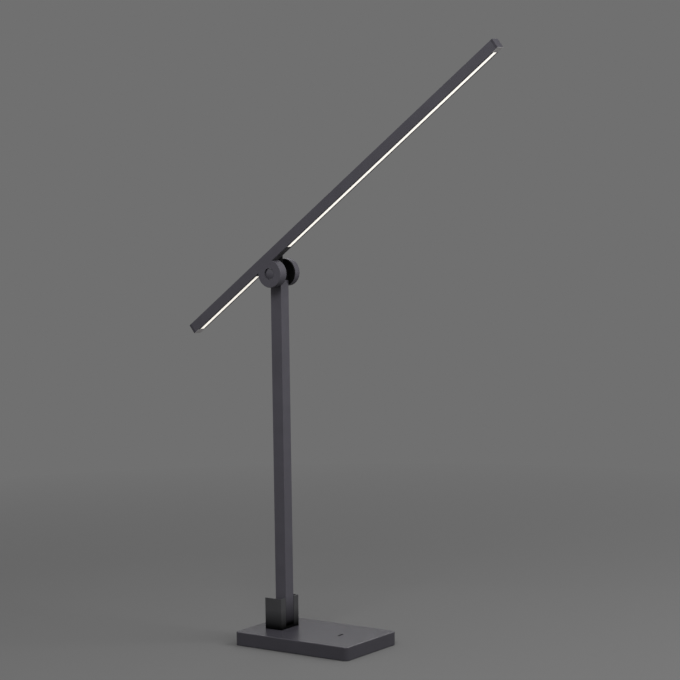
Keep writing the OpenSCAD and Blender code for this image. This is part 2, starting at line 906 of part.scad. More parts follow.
module friction_washers() {
    color(black)
    on_arm() {
        y_ring(friction_d, axle_bush_d + 0.4, -near_gap, -near_gap + friction_t);
        y_ring(friction_d, axle_bush_d + 0.4, far_gap - far_friction_t, far_gap);
    }
}

module hinge_bolt() {
    color(steel)
    on_arm()
        difference() {
            union() {
                y_cyl(inner_fit_d, head_y, head_floor_y);
                y_cyl(bolt_d, head_floor_y, nut_y + nut_t);
            }
            y_cyl(bolt_bore, head_y - over, stem_w / 4 + bolt_bore / 2);
            translate([0, wire_y, 0])
                cylinder(h = bolt_d, d = bolt_bore - 0.5, $fn = small_fn);
            rotate([0, arm_angle, 0])
                translate([0, 0, -bolt_d])
                    cylinder(h = bolt_d, d = bolt_bore - 0.5, $fn = small_fn);
        }
}

module spring_washers() {
    color(steel)
    on_arm()
        for (i = [0, 1])
            y_ring(inner_fit_d - 0.6 * i, bolt_d + 2 * slip, spring_y + i * spring_t,
                spring_y + (i + 1) * spring_t);
}

module hinge_nut() {
    color(steel)
    on_arm()
        difference() {
            y_ring(inner_fit_d, bolt_d + slip, nut_y, nut_y + nut_t);
            for (a = [0, 90])
                rotate([0, a, 0])
                    translate([-pocket_d / 2, nut_y + nut_t - 1.2, -1])
                        cube([pocket_d, 2, 2]);
        }
}

module hub_cap() {
    color(graphite)
    on_arm() y_cap(near_y, -1);
}

module disc_cap() {
    color(graphite)
    on_arm() y_cap(far_y, 1);
}

// LED strip under the web, chips downward, from x0 to x1
module strip(x0, x1) {
    count = floor((x1 - x0 - chip_pitch) / chip_pitch);
    first = (x0 + x1 - (count - 1) * chip_pitch) / 2;
    color(nylon) {
        translate([x0, arm_mid_y - strip_w / 2, web_z - strip_t])
            cube([x1 - x0, strip_w, strip_t]);
        for (i = [0 : count - 1])
            translate([first + i * chip_pitch - chip_l / 2, arm_mid_y - chip_w / 2,
                    web_z - strip_t - chip_h])
                cube([chip_l, chip_w, chip_h + 0.05]);
    }
}

module lower_strip() {
    on_arm() strip(-reach_down + dark_end + strip_inset, -dark_down - strip_inset);
}

module upper_strip() {
    on_arm() strip(dark_up + strip_inset, reach_up - dark_end - strip_inset);
}

// Bar that closes the channel from x0 to x1, flush with the arm's underside
module channel_bar(x0, x1) {
    translate([x0, arm_mid_y - channel_w / 2 + fit_gap, arm_under])
        cube([x1 - x0, channel_w - 2 * fit_gap, diffuser_t]);
}

module lower_diffuser() {
    color(warm_white)
    on_arm() channel_bar(-reach_down + dark_end, -dark_down);
}

module upper_diffuser() {
    color(warm_white)
    on_arm() channel_bar(dark_up, reach_up - dark_end);
}

module channel_covers() {
    color(graphite_dark)
    on_arm() {
        channel_bar(-dark_down + fit_gap, -cover_start);
        channel_bar(cover_start, dark_up - fit_gap);
    }
}

// End cap with a tongue in the arm's cavity and one in its channel
module end_cap(x, dir) {
    tongue = 7;
    translate([x, 0, 0])
        mirror([dir > 0 ? 0 : 1, 0, 0]) {
            along_arm(-end_cap_t, 0)
                translate([0, arm_rise]) round_rect(arm_w, arm_w, arm_edge_r);
            along_arm(-end_cap_t - tongue, -end_cap_t + 0.5)
                translate([-cavity_w / 2 + fit_gap, cavity_z + fit_gap])
                    square([cavity_w - 2 * fit_gap, cavity_h - 2 * fit_gap]);
            along_arm(-dark_end + fit_gap, -end_cap_t + 0.5)
                translate([-channel_w / 2 + fit_gap, arm_under])
                    square([channel_w - 2 * fit_gap, diffuser_t]);
        }
}

module lower_end_cap() {
    color(graphite)
    on_arm() end_cap(-reach_down, -1);
}

module upper_end_cap() {
    color(graphite)
    on_arm() end_cap(reach_up, 1);
}

module arm_wires() {
    color(black)
    on_arm() {
        lead_run([0, wire_y, 0], [0, wire_y, wire_z], wire_d);
        for (x = [-web_hole_down, web_hole_up]) {
            lead_run([0, wire_y, wire_z], [x, arm_mid_y, wire_z], wire_d);
            lead_run([x, arm_mid_y, wire_z], [x, arm_mid_y, web_z - strip_t / 2], wire_d);
        }
    }
}

base_shell();
base_pad();
bottom_plate();
plate_screws();
ballast();
driver_board();
board_screws();
power_coil();
filter_capacitor();
control_chip();
board_terminals();
power_inlet();
supply_lead();
light_lead();
tact_switch();
bracket_shim();
stem_bracket();
bracket_screws();
stem_pin();
pin_plug();
pin_lock_screw();
switch_key();
key_plunger();
stem_tube();
stem_foot();
pin_bush();
foot_washers();
stem_head();
axle_bush();
stem_wires();
arm_beam();
clamp_disc();
friction_washers();
hinge_bolt();
spring_washers();
hinge_nut();
hub_cap();
disc_cap();
lower_strip();
upper_strip();
lower_diffuser();
upper_diffuser();
channel_covers();
lower_end_cap();
upper_end_cap();
arm_wires();
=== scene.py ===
"""Looks of an LED table lamp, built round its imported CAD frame.

The lamp is a flat oblong base, a square stem that tilts in a fork, and a slim light bar
clamped beside the stem on a round hinge. All sizes are in metres, in the frame's own axes:
+X is the way the bar reaches and +Z is up.
"""
from __future__ import annotations

import json
import logging
import math
from dataclasses import dataclass, field
from enum import Enum
from typing import Iterable, Optional, Sequence

import bmesh
import bpy
from mathutils import Matrix, Vector

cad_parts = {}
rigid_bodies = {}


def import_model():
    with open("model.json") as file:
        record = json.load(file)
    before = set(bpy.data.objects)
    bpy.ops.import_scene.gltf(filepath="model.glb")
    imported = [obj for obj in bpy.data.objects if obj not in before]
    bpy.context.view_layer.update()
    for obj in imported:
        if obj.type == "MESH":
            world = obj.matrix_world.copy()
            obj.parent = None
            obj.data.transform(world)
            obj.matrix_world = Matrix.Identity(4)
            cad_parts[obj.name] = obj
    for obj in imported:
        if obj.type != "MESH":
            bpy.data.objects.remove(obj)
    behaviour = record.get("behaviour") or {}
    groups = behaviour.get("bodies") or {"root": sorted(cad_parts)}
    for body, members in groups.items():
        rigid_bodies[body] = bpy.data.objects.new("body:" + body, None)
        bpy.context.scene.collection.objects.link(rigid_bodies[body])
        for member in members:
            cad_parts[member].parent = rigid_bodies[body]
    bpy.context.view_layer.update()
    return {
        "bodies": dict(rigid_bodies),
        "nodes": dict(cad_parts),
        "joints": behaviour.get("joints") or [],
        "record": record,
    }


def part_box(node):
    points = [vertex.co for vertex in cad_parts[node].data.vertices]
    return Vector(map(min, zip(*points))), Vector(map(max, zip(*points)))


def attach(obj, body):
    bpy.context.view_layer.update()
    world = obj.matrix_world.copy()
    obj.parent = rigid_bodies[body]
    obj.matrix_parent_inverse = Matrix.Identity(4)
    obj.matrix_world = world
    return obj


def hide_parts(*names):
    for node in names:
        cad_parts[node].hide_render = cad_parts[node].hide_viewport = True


LOG = logging.getLogger("table_lamp")
PHOTO_PX = 680

# Facets round a turned piece, a bore, a narrow way and an end
ROUND_STEPS = 96
BORE_STEPS = 64
WAY_STEPS = 48
END_STEPS = 8

# What counts as the same level, how far points are welded, how askew an edge may run, and
# how far a cutter stands past its stock
SAME = 1e-6
WELD = 2e-7
SKEW = 1e-4
OVER = 0.001

# How much of a half-width is rounded at a round end, and how much of a broken rim's width
# its middle stands off
HALF_ROUND = 0.98
RIM_MIDDLE = 0.3

# Angles of the edges that stay sharp and of those that are broken
SMOOTH_ANGLE = math.radians(38.0)
EASE_ANGLE = math.radians(42.0)

# Length of one band of the wave texture at a scale of 1
WAVE_BAND = 0.314

ALONG = Vector((1.0, 0.0, 0.0))
UP = Vector((0.0, 0.0, 1.0))

Color = tuple[float, float, float]
Span = tuple[float, float]
Socket = bpy.types.NodeSocket
Mesh = bmesh.types.BMesh


def grey(value: float, tint: Color = (1.0, 1.0, 1.0)) -> Color:
    """Returns a linear colour of the given brightness and tint."""
    return (value * tint[0], value * tint[1], value * tint[2])


# Materials


class NodeSheet:
    """A material's node tree, with short ways to add and join its nodes."""

    def __init__(self, name: str) -> None:
        """Starts a material with only its shader and its output.

        Args:
            name: Name of the material.
        """
        self.material = bpy.data.materials.new(name)
        self.material.use_nodes = True
        self.tree = self.material.node_tree
        self.shader = self.tree.nodes["Principled BSDF"]
        self.spot = self.tree.nodes.new("ShaderNodeTexCoord").outputs["Object"]

    def feed(self, socket: Socket, value: object) -> None:
        """Gives an input its value, or joins it to the output that feeds it.

        Args:
            socket: The input.
            value: The value, or the output.
        """
        if isinstance(value, bpy.types.NodeSocket):
            self.tree.links.new(value, socket)
        else:
            socket.default_value = value

    def node(self, kind: str, output: str, inputs: dict, **settings: object) -> Socket:
        """Adds a node, sets it up and joins what feeds it.

        Args:
            kind: Its type, as it follows the word ShaderNode.
            output: Name of the output to give.
            inputs: Values of its inputs, or the outputs that feed them, by name or place.
            **settings: The node's own settings.

        Returns:
            The output.
        """
        node = self.tree.nodes.new("ShaderNode" + kind)
        for name, value in settings.items():
            setattr(node, name, value)
        for name, value in inputs.items():
            self.feed(node.inputs[name], value)
        return node.outputs[output]

    def coordinates(self, stretch: Color = (1.0, 1.0, 1.0),
                    turn: Color = (0.0, 0.0, 0.0)) -> Socket:
        """Gives object coordinates, stretched along and turned about each axis."""
        return self.node("Mapping", "Vector",
                         {"Vector": self.spot, "Scale": stretch, "Rotation": turn})

    def height(self) -> Socket:
        """Gives the height in object coordinates."""
        return self.node("SeparateXYZ", "Z", {"Vector": self.spot})

    def product(self, first: Socket, second: Socket) -> Socket:
        """Multiplies two colours."""
        return self.node("VectorMath", "Vector", {0: first, 1: second},
                         operation="MULTIPLY")

    def math(self, operation: str, first: Socket, second: Socket) -> Socket:
        """Works out one sum of two values, by the name of the sum."""
        return self.node("Math", "Value", {0: first, 1: second}, operation=operation)

    def noise(self, vector: Socket, size: float, detail: float = 2.0,
              rough: float = 0.5) -> Socket:
        """Gives a noise with features of a size in metres, and finer layers in it."""
        return self.node("TexNoise", "Fac", {"Vector": vector, "Scale": 1.0 / size,
                                             "Detail": detail, "Roughness": rough})

    def cells(self, vector: Socket, size: float, output: str = "Distance") -> Socket:
        """Gives the distance in cells of a size in metres, or another output of theirs."""
        return self.node("TexVoronoi", output, {"Vector": vector, "Scale": 1.0 / size})

    def spread(self, value: Socket, low: float, high: float,
               start: float = 0.3, stop: float = 0.7) -> Socket:
        """Maps a value between start and stop to one between low and high."""
        return self.node("MapRange", "Result",
                         {"Value": value, "From Min": start, "From Max": stop,
                          "To Min": low, "To Max": high})

    def colors(self, value: Socket, low: Color, high: Color,
               start: float = 0.3, stop: float = 0.7) -> Socket:
        """Blends from one colour to another over a range of the value.

        Args:
            value: The value that drives the blend.
            low: Colour at the start of the range.
            high: Colour at its end.
            start: Start of the range.
            stop: End of the range.

        Returns:
            The colour output.
        """
        blend = self.node("ValToRGB", "Color", {"Fac": value})
        first, last = blend.node.color_ramp.elements
        first.position, first.color = start, (*low, 1.0)
        last.position, last.color = stop, (*high, 1.0)
        return blend

    def bump(self, height: Socket, depth: float, strength: float,
             under: Optional[Socket] = None) -> Socket:
        """Turns a height into a surface normal.

        Args:
            height: The height, from 0 to 1.
            depth: Depth in metres that 1 stands for.
            strength: Share of the bump that shows.
            under: A normal that this one is added to.

        Returns:
            The normal output.
        """
        inputs = {"Height": height, "Distance": depth, "Strength": strength}
        if under is not None:
            inputs["Normal"] = under
        return self.node("Bump", "Normal", inputs)

    def finish(self, **sockets: object) -> bpy.types.Material:
        """Feeds the shader's sockets and gives the material.

        Args:
            **sockets: Socket names, with words joined by underscores, and what feeds them.

        Returns:
            The finished material.
        """
        known = {s.name.lower().replace(" ", "_"): s for s in self.shader.inputs}
        for name, value in sockets.items():
            self.feed(known[name], value)
        return self.material


@dataclass(frozen=True)
class Finish:
    """A finish in one colour, uneven in its tone and its roughness.

    tones are the darkest and the palest share of the colour, and wear is how far the
    roughness falls and rises.
    """

    name: str
    color: Color
    roughness: float = 0.5
    tones: Span = (0.93, 1.06)
    wear: Span = (0.04, 0.06)

    def tinted(self, sheet: NodeSheet, value: Socket, *span: float) -> Socket:
        """Gives the colour in its tones, over a span of a value."""
        return sheet.colors(value, *(grey(tone, self.color) for tone in self.tones), *span)

    def worn(self, sheet: NodeSheet, value: Socket, *span: float) -> Socket:
        """Gives the roughness with its wear, over a span of a value."""
        return sheet.spread(value, self.roughness - self.wear[0],
                            self.roughness + self.wear[1], *span)


@dataclass(frozen=True)
class PowderCoat(Finish):
    """Fine matt powder coat: a close-grained skin over metal, cloudy at a larger scale.

    Over the heights of its foot, if it has one, it darkens downwards to black as painted
    shade.
    """

    tones: Span = (0.94, 1.06)
    wear: Span = (0.05, 0.07)
    specular: float = 0.4
    grain: float = 0.00035
    depth: float = 0.00003
    cloud: float = 0.02
    skin: float = 6.0
    # Heights over which the painted shade at the foot rises from black to the coat's own
    # colour
    foot: Optional[Span] = None

    def material(self) -> bpy.types.Material:
        """Builds the coat's material."""
        sheet = NodeSheet(self.name)
        place = sheet.coordinates()
        cloud = sheet.noise(place, self.cloud, detail=4.0)
        grain = sheet.noise(place, self.grain, detail=3.0, rough=0.6)
        skin = sheet.noise(place, self.grain * self.skin, detail=1.0)
        color, shine = self.tinted(sheet, cloud), self.specular
        # Painted shade: colour and shine fade to black down the foot
        if self.foot is not None:
            lit = sheet.colors(sheet.height(), grey(0.0), grey(1.0), *self.foot)
            color = sheet.product(color, lit)
            shine = sheet.spread(lit, 0.0, shine, 0.0, 1.0)
        return sheet.finish(
            metallic=0.0,
            base_color=color,
            roughness=self.worn(sheet, grain),
            specular_ior_level=shine,
            normal=sheet.bump(grain, self.depth, strength=0.5,
                              under=sheet.bump(skin, 2.0 * self.depth, strength=0.15)),
        )


@dataclass(frozen=True)
class MouldedPlastic(Finish):
    """Moulded plastic with a spark-eroded grain."""

    specular: float = 0.5
    grain: float = 0.0004
    depth: float = 0.00003
    flow: float = 0.008

    def material(self) -> bpy.types.Material:
        """Builds the plastic's material."""
        sheet = NodeSheet(self.name)
        place = sheet.coordinates()
        flow = sheet.noise(place, self.flow, detail=3.0)
        return sheet.finish(
            metallic=0.0, ior=1.49, specular_ior_level=self.specular,
            base_color=self.tinted(sheet, flow),
            roughness=self.worn(sheet, flow),
            normal=sheet.bump(sheet.cells(place, self.grain), self.depth, strength=0.4),
        )


@dataclass(frozen=True)
class Rubber(Finish):
    """Soft black rubber with small grip dimples and a dusty bloom."""

    roughness: float = 0.82
    tones: Span = (0.8, 1.35)
    wear: Span = (0.06, 0.06)
    dimple: float = 0.0016
    depth: float = 0.00015
    bloom: float = 0.012

    def material(self) -> bpy.types.Material:
        """Builds the rubber's material."""
        sheet = NodeSheet(self.name)
        place = sheet.coordinates()
        bloom = sheet.noise(place, self.bloom, detail=5.0)
        return sheet.finish(
            metallic=0.0, ior=1.5, sheen_weight=0.12, sheen_roughness=0.6,
            base_color=self.tinted(sheet, bloom),
            roughness=self.worn(sheet, bloom),
            normal=sheet.bump(sheet.cells(place, self.dimple), self.depth, strength=0.6),
        )


class Cut(Enum):
    """How a metal face was worked, as the axis that its marks run along."""

    ALONG_Y = (40.0, 1.0, 40.0)
    ALONG_Z = (40.0, 40.0, 1.0)


@dataclass(frozen=True)
class PlatedSteel(Finish):
    """Zinc-plated steel with drawn or turned marks."""

    roughness: float = 0.34
    tones: Span = (0.88, 1.05)
    wear: Span = (0.09, 0.12)
    cut: Cut = Cut.ALONG_Y
    mark: float = 0.004
    cloud: float = 0.003
    depth: float = 0.00002

    def material(self) -> bpy.types.Material:
        """Builds the steel's material."""
        sheet = NodeSheet(self.name)
        marks = sheet.noise(sheet.coordinates(self.cut.value), self.mark, detail=4.0)
        cloud = sheet.noise(sheet.coordinates(), self.cloud, detail=3.0)
        return sheet.finish(
            metallic=1.0,
            base_color=self.tinted(sheet, cloud),
            roughness=self.worn(sheet, marks),
            normal=sheet.bump(marks, self.depth, strength=0.35),
        )


@dataclass(frozen=True)
class ZincSheet(Finish):
    """Galvanised sheet with its flat crystals."""

    roughness: float = 0.39
    tones: Span = (0.82, 1.08)
    wear: Span = (0.09, 0.09)
    crystal: float = 0.006
    scuff: float = 0.0008
    depth: float = 0.00002

    def material(self) -> bpy.types.Material:
        """Builds the sheet's material."""
        sheet = NodeSheet(self.name)
        place = sheet.coordinates()
        crystals = sheet.cells(place, self.crystal, "Color")
        red = sheet.node("SeparateColor", "Red", {"Color": crystals})
        scuff = sheet.noise(place, self.scuff, detail=4.0)
        return sheet.finish(
            metallic=1.0,
            base_color=self.tinted(sheet, red, 0.1, 0.9),
            roughness=self.worn(sheet, red.node.outputs["Green"], 0.0, 1.0),
            normal=sheet.bump(scuff, self.depth, strength=0.3),
        )


@dataclass(frozen=True)
class CircuitBoard(Finish):
    """Solder mask with faint copper tracks under it."""

    roughness: float = 0.33
    tones: Span = (1.0, 0.86)
    wear: Span = (0.07, 0.07)
    track: Color = (0.03, 0.2, 0.09)
    pitch: float = 0.0096
    resin: float = 0.0012
    depth: float = 0.00003

    def material(self) -> bpy.types.Material:
        """Builds the board's material."""
        sheet = NodeSheet(self.name)
        place = sheet.coordinates()
        first, second = (grey(tone, self.color) for tone in self.tones)
        tracks = sheet.node("TexBrick", "Color", {
            "Vector": place, "Scale": 1.0 / self.pitch, "Mortar Size": 0.03,
            "Color1": (*first, 1.0), "Color2": (*second, 1.0), "Mortar": (*self.track, 1.0)})
        return sheet.finish(
            metallic=0.0, ior=1.5,
            base_color=tracks,
            roughness=self.worn(sheet, sheet.noise(place, self.resin, detail=3.0)),
            normal=sheet.bump(tracks.node.outputs["Fac"], self.depth, strength=0.5),
        )


@dataclass(frozen=True)
class LitDiffuser(Finish):
    """Milky plastic lit from behind, a little brighter over each chip of the strip."""

    roughness: float = 0.525
    tones: Span = (0.93, 1.0)
    wear: Span = (0.075, 0.075)
    strength: float = 1.0
    tilt: float = 0.0
    milk: Span = (0.817, 0.903)
    cloud: float = 0.003
    chip_pitch: float = 0.00833

    def material(self) -> bpy.types.Material:
        """Builds the diffuser's material."""
        sheet = NodeSheet(self.name)
        along = sheet.coordinates(turn=(0.0, self.tilt, 0.0))
        chips = sheet.node("TexWave", "Fac", {"Vector": along,
                                              "Scale": WAVE_BAND / self.chip_pitch},
                           bands_direction="X")
        cloud = sheet.noise(sheet.coordinates(), self.cloud)
        return sheet.finish(
            metallic=0.0, ior=1.49, emission_strength=self.strength,
            base_color=sheet.colors(cloud, *(grey(tone) for tone in self.milk)),
            roughness=self.worn(sheet, cloud),
            emission_color=self.tinted(sheet, chips, 0.0, 1.0),
        )


@dataclass(frozen=True)
class Finishes:
    """Every finish on the lamp, by the record's material slot."""

    bar_tilt: float
    graphite: Color = (0.063, 0.060, 0.073)

    def build(self) -> dict[str, bpy.types.Material]:
        """Builds each material once.

        Returns:
            The materials by slot name, and the one of the frosted ends by its own name.
        """
        coat = self.graphite
        finishes = {
            "painted_base": PowderCoat("base_coat", grey(0.78, coat), 0.22, specular=0.5),
            # The fork's and the stem's coats darken to black at their feet, as painted shade
            "painted_bracket": PowderCoat("bracket_coat", (0.046, 0.046, 0.049), 0.6,
                                          foot=(0.0175, 0.039)),
            "painted_aluminium": PowderCoat("stem_and_bar_coat", grey(1.14, coat), 0.6,
                                            foot=(0.02, 0.0545)),
            "cap_paint": PowderCoat("cap_coat", grey(1.15, coat), 0.3, grain=0.0003),
            "bare_aluminium": PlatedSteel("machined_aluminium", grey(0.62), 0.3,
                                          cut=Cut.ALONG_Z),
            "black_rubber": Rubber("pad_rubber", grey(0.022)),
            "friction_ring": MouldedPlastic("friction_ring_plastic", grey(0.003), 0.85,
                                            specular=0.08),
            "steel": PlatedSteel("plated_steel", (0.56, 0.57, 0.59)),
            "zinc_plate": ZincSheet("galvanised_sheet", (0.6, 0.61, 0.63)),
            "circuit_board": CircuitBoard("solder_mask_green", (0.012, 0.11, 0.05)),
            "strip_board": CircuitBoard("solder_mask_white", (0.78, 0.77, 0.73),
                                        track=(0.7, 0.66, 0.5), pitch=0.0084),
            "black_plastic": MouldedPlastic("black_moulding", grey(0.02), 0.42),
            "dark_plastic": MouldedPlastic("dark_moulding", grey(0.042), 0.5),
            "key_plastic": MouldedPlastic("key_moulding", grey(0.004), 0.8, specular=0.0),
            "end_plastic": MouldedPlastic("end_cap_moulding", grey(0.85, coat), 0.6,
                                          specular=0.2),
            "white_plastic": MouldedPlastic("nylon_moulding", (0.74, 0.73, 0.69), 0.4),
            "lead_sleeve": Rubber("lead_sleeve", grey(0.03), 0.55, dimple=0.004),
            "lit_diffuser": LitDiffuser("lit_diffuser", (1.0, 0.95, 0.86), strength=0.93,
                                        tilt=self.bar_tilt),
            # The frosted ends' faint emission is a painted glow, beyond the reach of the
            # strip's chips
            "unlit_diffuser": LitDiffuser("unlit_diffuser", (1.0, 0.95, 0.96),
                                          strength=0.08, tilt=self.bar_tilt,
                                          milk=(0.228, 0.252)),
        }
        return {slot: finish.material() for slot, finish in finishes.items()}


# Workshop: meshes, cuts and the finishing of a piece


def middle(node: str) -> Vector:
    """Gives the middle of a CAD node's box."""
    return sum(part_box(node), Vector()) / 2.0


def edges_along(bm: Mesh, axis: Vector) -> list:
    """Finds the edges that run along an axis, given as a unit vector."""
    runs = ((edge, edge.verts[1].co - edge.verts[0].co) for edge in bm.edges)
    return [edge for edge, run in runs
            if abs(abs(run.dot(axis)) - run.length) < SKEW * run.length]


def edges_at(bm: Mesh, axis: Vector, level: float) -> list:
    """Finds the edges that lie at a level of an axis, given as a unit vector."""
    return [edge for edge in bm.edges
            if all(abs(v.co.dot(axis) - level) < SAME for v in edge.verts)]


def round_off(bm: Mesh, edges: Iterable, radius: float, steps: int) -> None:
    """Rounds edges of a mesh to a radius, with steps facets in each rounding."""
    bmesh.ops.bevel(bm, geom=list(edges), offset=radius, offset_type="OFFSET",
                    segments=steps, profile=0.5, affect="EDGES", clamp_overlap=True,
                    material=-1)


def round_along(bm: Mesh, axis: Vector, radius: float, steps: int = 4) -> None:
    """Rounds the edges of a mesh that run along an axis, given as a unit vector."""
    round_off(bm, edges_along(bm, axis), radius, steps)


def block(low: Vector, high: Vector) -> Mesh:
    """Makes a block between two corners.

    Args:
        low: Its lowest corner.
        high: Its highest corner.

    Returns:
        The block's mesh.
    """
    bm = bmesh.new()
    size = high - low
    bmesh.ops.create_cube(bm, size=1.0)
    bmesh.ops.scale(bm, vec=size, verts=bm.verts)
    bmesh.ops.translate(bm, vec=(low + high) / 2.0, verts=bm.verts)
    return bm


def turned(profile: Sequence[Span]) -> Mesh:
    """Turns a profile about the Y axis, as on a lathe.

    Args:
        profile: Points (radius, y) from the first face's middle to the last face's middle.

    Returns:
        The turned piece's mesh.
    """
    bm = bmesh.new()
    points = [bm.verts.new((radius, y, 0.0)) for radius, y in profile]
    edges = [bm.edges.new(pair) for pair in zip(points, points[1:])]
    bmesh.ops.spin(bm, geom=points + edges, cent=(0.0, 0.0, 0.0), axis=(0.0, 1.0, 0.0),
                   dvec=(0.0, 0.0, 0.0), angle=math.tau, steps=ROUND_STEPS,
                   use_merge=True, use_duplicate=False)
    bmesh.ops.remove_doubles(bm, verts=bm.verts, dist=WELD)
    bmesh.ops.recalc_face_normals(bm, faces=bm.faces)
    return bm


def disc(radius: float, back: float, face: float, edge: float) -> Mesh:
    """Makes a disc about the Y axis from back to face, with the edge of its face broken."""
    inward = math.copysign(edge, back - face)
    return turned([(0.0, back), (radius, back), (radius, face + inward),
                   (radius - RIM_MIDDLE * edge, face + RIM_MIDDLE * inward),
                   (radius - edge, face), (0.0, face)])


def rod(radius: float, start: Vector, stop: Vector, steps: int = BORE_STEPS) -> Mesh:
    """Makes a round rod between two points.

    Args:
        radius: Its radius.
        start: Middle of its first end.
        stop: Middle of its other end.
        steps: Number of facets round it.

    Returns:
        The rod's mesh.
    """
    bm = bmesh.new()
    run = stop - start
    turn = run.to_track_quat("Z", "Y").to_matrix().to_4x4()
    bmesh.ops.create_cone(bm, cap_ends=True, segments=steps, radius1=radius,
                          radius2=radius, depth=run.length,
                          matrix=Matrix.Translation((start + stop) / 2.0) @ turn)
    return bm


def add(name: str, data: bpy.types.ID) -> bpy.types.Object:
    """Adds an object with its data to the scene.

    Args:
        name: Name of the object.
        data: Its mesh, camera or lamp.

    Returns:
        The object.
    """
    item = bpy.data.objects.new(name, data)
    bpy.context.scene.collection.objects.link(item)
    return item


class Join(Enum):
    """What a second solid does to the first."""

    ADD = "UNION"
    CUT = "DIFFERENCE"
    KEEP = "INTERSECT"


class Workpiece:
    """One piece of the lamp or the studio while it is being made."""

    def __init__(self, name: str, bm: Mesh) -> None:
        """Takes a mesh as the stock that the piece is made from.

        Args:
            name: Name of the piece.
            bm: Its first mesh, which is used up.
        """
        mesh = bpy.data.meshes.new(name)
        bm.to_mesh(mesh)
        bm.free()
        self.item = add(name, mesh)

    def _settle(self) -> None:
        """Makes the modifiers part of the mesh."""
        graph = bpy.context.evaluated_depsgraph_get()
        mesh = bpy.data.meshes.new_from_object(self.item.evaluated_get(graph))
        spare = self.item.data
        self.item.modifiers.clear()
        self.item.data = mesh
        bpy.data.meshes.remove(spare)

    def work(self, join: Join, *tools: Mesh) -> Workpiece:
        """Adds, cuts or keeps by each solid in turn.

        Args:
            join: What each solid does.
            *tools: The solids, which are used up, with the objects made for them.

        Returns:
            The piece itself.
        """
        for tool in tools:
            other = Workpiece(self.item.name + "_tool", tool)
            step = self.item.modifiers.new("join", "BOOLEAN")
            step.operation = join.value
            step.solver = "EXACT"
            step.object = other.item
            self._settle()
            bpy.data.meshes.remove(other.item.data)
        return self

    def place(self, matrix: Matrix) -> Workpiece:
        """Puts the mesh in its place in the frame and gives the piece itself."""
        self.item.data.transform(matrix)
        self.item.data.update()
        return self

    def ease(self, width: float, steps: int = 2) -> Workpiece:
        """Breaks the sharp edges.

        Args:
            width: Width of the broken edge.
            steps: Number of facets across it.

        Returns:
            The piece itself.
        """
        step = self.item.modifiers.new("ease", "BEVEL")
        step.width = width
        step.segments = steps
        step.limit_method = "ANGLE"
        step.angle_limit = EASE_ANGLE
        step.profile = 0.5
        step.use_clamp_overlap = True
        self._settle()
        return self

    def done(self, lamp: Lamp, body: str, slot: str, *nodes: str,
             finish: Optional[str] = None) -> None:
        """Finishes the piece: smooth faces, its finish, its body and what it stands for.

        Args:
            lamp: The lamp that it belongs to.
            body: Body that it rides on.
            slot: The record's material slot.
            *nodes: CAD nodes that it stands for.
            finish: Name of its finish, where that isn't the slot's own.
        """
        mesh = self.item.data
        bm = bmesh.new()
        bm.from_mesh(mesh)
        bmesh.ops.remove_doubles(bm, verts=bm.verts, dist=WELD)
        bmesh.ops.recalc_face_normals(bm, faces=bm.faces)
        bm.to_mesh(mesh)
        bm.free()
        mesh.materials.clear()
        mesh.materials.append(lamp.materials[finish or slot])
        mesh.polygons.foreach_set("material_index", [0] * len(mesh.polygons))
        mesh.shade_smooth()
        mesh.set_sharp_from_angle(angle=SMOOTH_ANGLE)
        weigh = self.item.modifiers.new("flat_faces", "WEIGHTED_NORMAL")
        weigh.keep_sharp = True
        self._settle()
        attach(self.item, body)
        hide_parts(*nodes)
        lamp.rebuilt.update(nodes)
        LOG.info("%s: %d faces on body %s", self.item.name, len(self.item.data.polygons),
                 body)


# The lamp, unit by unit


@dataclass
class Lamp:
    """What all the sub-assemblies share: where the parts are, and their materials."""

    frame: dict
    materials: dict[str, bpy.types.Material]
    rebuilt: set[str] = field(default_factory=set)

    def joint(self, name: str) -> Vector:
        """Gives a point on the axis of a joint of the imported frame."""
        return Vector(next(j["pos_m"] for j in self.frame["joints"] if j["name"] == name))

    def dress(self, *bodies: str) -> None:
        """Gives the nodes that keep their solids the finish of their slots.

        Args:
            *bodies: The bodies whose nodes it dresses, once their own pieces are built.
        """
        record = self.frame["record"]
        slots = {s["node"]: s["material_slot"] for s in record["subparts"]}
        nodes = sum((record["behaviour"]["bodies"][body] for body in bodies), [])
        for node in (n for n in nodes if n not in self.rebuilt):
            item = self.frame["nodes"][node]
            item.data.materials.clear()
            item.data.materials.append(self.materials[slots[node]])
            item.data.polygons.foreach_set("material_index", [0] * len(item.data.polygons))
            LOG.info("%s keeps its solid, in %s", node, slots[node])


